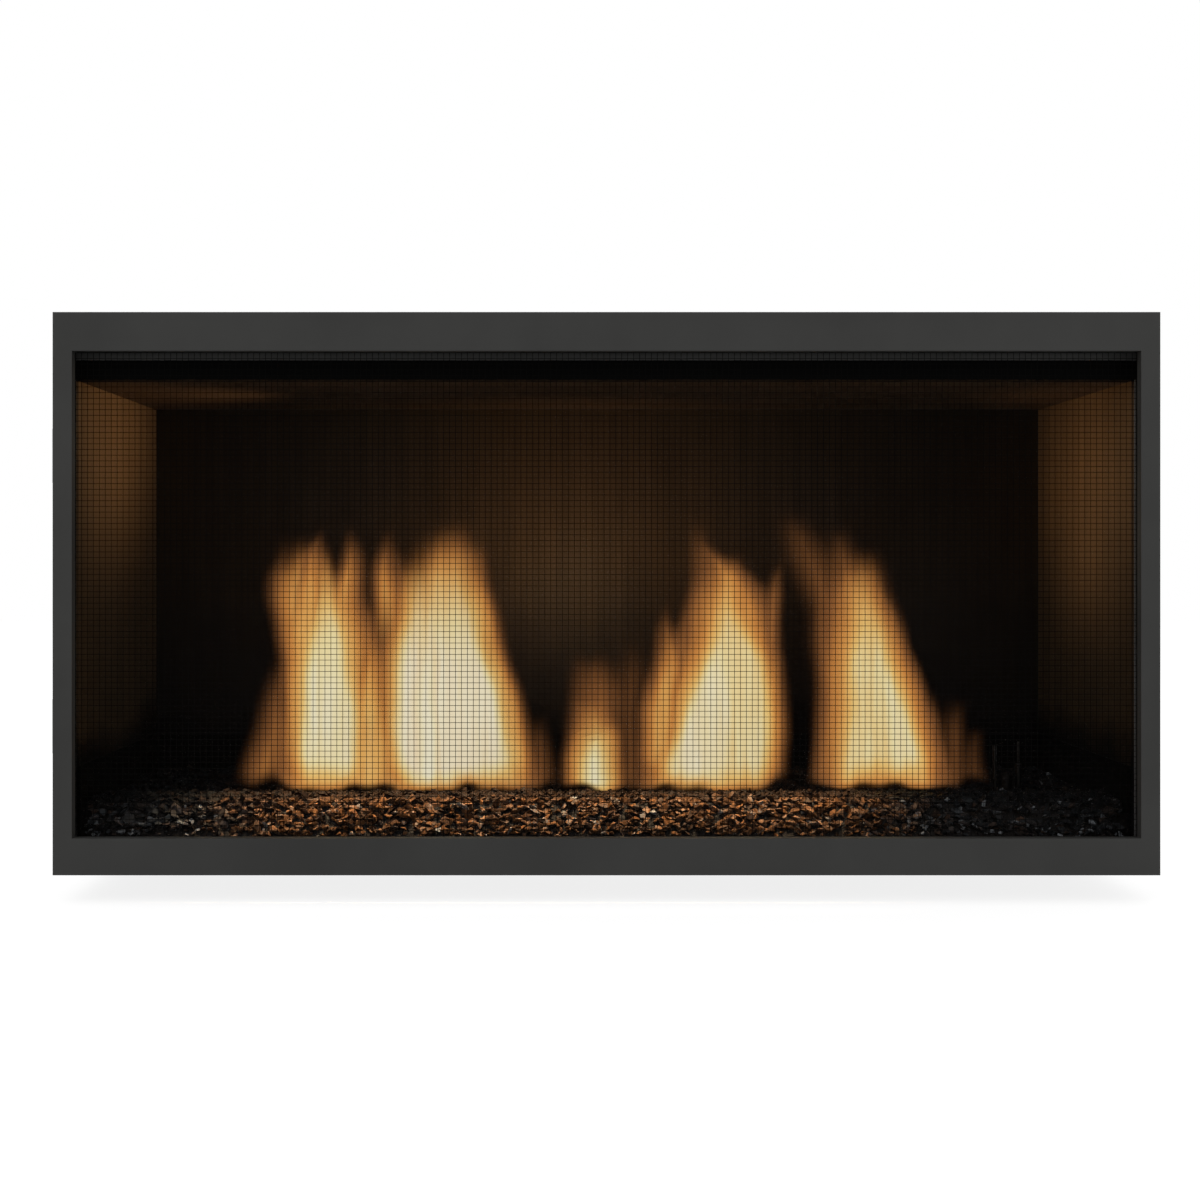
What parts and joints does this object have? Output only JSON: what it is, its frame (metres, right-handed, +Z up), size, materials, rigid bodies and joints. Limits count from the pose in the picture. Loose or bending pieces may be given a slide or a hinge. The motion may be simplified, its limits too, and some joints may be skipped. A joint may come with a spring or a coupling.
{
  "type": "linear gas fireplace",
  "caption": "Wide built-in direct-vent gas fireplace with a charcoal surround, woven safety screen, glass door, media bed, slot burner, flue collars and gas controls.",
  "frame": {"origin": "on the floor, under the middle of the unit's width and depth", "axes": "+Z up, -Y out of the front towards the room, +X to the right as seen from the room"},
  "size_m": [1.224, 0.406, 0.66],
  "materials": {
    "trim_coat": "charcoal powder coat, satin",
    "screen_black": "black woven wire, matt",
    "firebox_black": "black high-temperature paint, matt",
    "liner_bronze": "bronze-brown heat paint, satin",
    "galvanised": "galvanised sheet",
    "stainless": "stainless, satin",
    "ceramic_glass": "clear ceramic glass",
    "gasket_cord": "woven glass-fibre seal",
    "media_glass": "crushed black glass, glossy",
    "brass": "machined",
    "tube_aluminium": "drawn tube",
    "cast_aluminium": "die cast",
    "control_plastic": "black, fine texture",
    "ceramic": null,
    "zinc_steel": "zinc plated"
  },
  "bodies": {
    "unit": {"barrier_clips": "zinc_steel", "heat_lintel": "firebox_black", "front_sill": "firebox_black", "casing_left": "galvanised", "casing_right": "galvanised", "casing_top": "galvanised", "casing_back": "galvanised", "base_pan": "galvanised", "base_skids": "galvanised", "nailing_flanges": "galvanised", "top_standoffs": "galvanised", "firebox_left": "firebox_black", "firebox_right": "firebox_black", "firebox_back": "firebox_black", "firebox_top": "firebox_black", "firebox_header": "firebox_black", "firebox_floor": "firebox_black", "liner_left": "liner_bronze", "liner_right": "liner_bronze", "liner_back": "liner_bronze", "media_skirt": "firebox_black", "ceiling_baffle": "liner_bronze", "flue_inner_collar": "galvanised", "flue_outer_collar": "galvanised", "restrictor_guides": "zinc_steel", "flap_hinges": "stainless", "door_latch_springs": "stainless", "burner": "stainless", "glass_media": "media_glass", "pilot_burner": "stainless", "spark_electrode": "ceramic", "flame_sensor": "stainless", "burner_venturi": "stainless", "orifice_holder": "zinc_steel", "gas_orifice": "brass", "supply_tube": "tube_aluminium", "gas_valve": "cast_aluminium", "valve_bracket": "zinc_steel", "inlet_pipe": "zinc_steel", "shutoff_valve": "brass", "pilot_line": "tube_aluminium", "ignition_module": "control_plastic"},
    "barrier": {"surround_trim": "trim_coat", "screen_mesh": "screen_black", "screen_retainer": "screen_black", "barrier_tabs": "zinc_steel"},
    "door": {"door_frame": "firebox_black", "door_glass": "ceramic_glass", "glass_gasket": "gasket_cord", "door_hooks": "firebox_black"},
    "flap_left": {"relief_flap_left": "stainless"},
    "flap_right": {"relief_flap_right": "stainless"},
    "restrictor": {"restrictor_plate": "stainless"},
    "shutter": {"air_shutter": "zinc_steel"},
    "gas_control": {"gas_knob": "control_plastic"},
    "flame_control": {"flame_knob": "control_plastic"},
    "shutoff_handle": {"shutoff_lever": "zinc_steel"},
    "switch": {"rocker_switch": "control_plastic"}
  },
  "joints": [
    {"name": "barrier_pull", "type": "slide", "parent": "unit", "child": "barrier", "axis": [0, -1, 0], "range_m": [0, 0.12]},
    {"name": "door_relief", "type": "hinge", "parent": "unit", "child": "door", "pos_m": [0, -0.15285, 0.5947], "axis": [-1, 0, 0], "range_deg": [0, 1.5], "stiffness_Nm_per_rad": 60, "springref_deg": -5.73, "deforming": ["door_latch_springs"]},
    {"name": "relief_flap_left_lift", "type": "hinge", "parent": "unit", "child": "flap_left", "pos_m": [-0.3, 0.001, 0.591], "axis": [-1, 0, 0], "range_deg": [0, 18]},
    {"name": "relief_flap_right_lift", "type": "hinge", "parent": "unit", "child": "flap_right", "pos_m": [0.3, 0.001, 0.591], "axis": [-1, 0, 0], "range_deg": [0, 18]},
    {"name": "restrictor_slide", "type": "slide", "parent": "unit", "child": "restrictor", "axis": [-1, 0, 0], "range_m": [0, 0.045]},
    {"name": "gas_knob_turn", "type": "hinge", "parent": "unit", "child": "gas_control", "pos_m": [0.124, 0.054, 0.036], "axis": [0, -1, 0], "range_deg": [-180, 0]},
    {"name": "flame_knob_turn", "type": "hinge", "parent": "unit", "child": "flame_control", "pos_m": [0.176, 0.054, 0.036], "axis": [0, -1, 0], "range_deg": [-90, 0]},
    {"name": "shutoff_lever_turn", "type": "hinge", "parent": "unit", "child": "shutoff_handle", "pos_m": [0.525, 0.097, 0.058], "axis": [0, 0, 1], "range_deg": [0, 90]},
    {"name": "air_shutter_turn", "type": "hinge", "parent": "unit", "child": "shutter", "pos_m": [-0.185, -0.013, 0.036], "axis": [1, 0, 0], "range_deg": [0, 45]},
    {"name": "switch_rock", "type": "hinge", "parent": "unit", "child": "switch", "pos_m": [-0.41, 0.074, 0.0242], "axis": [1, 0, 0], "range_deg": [-18, 0]}
  ]
}
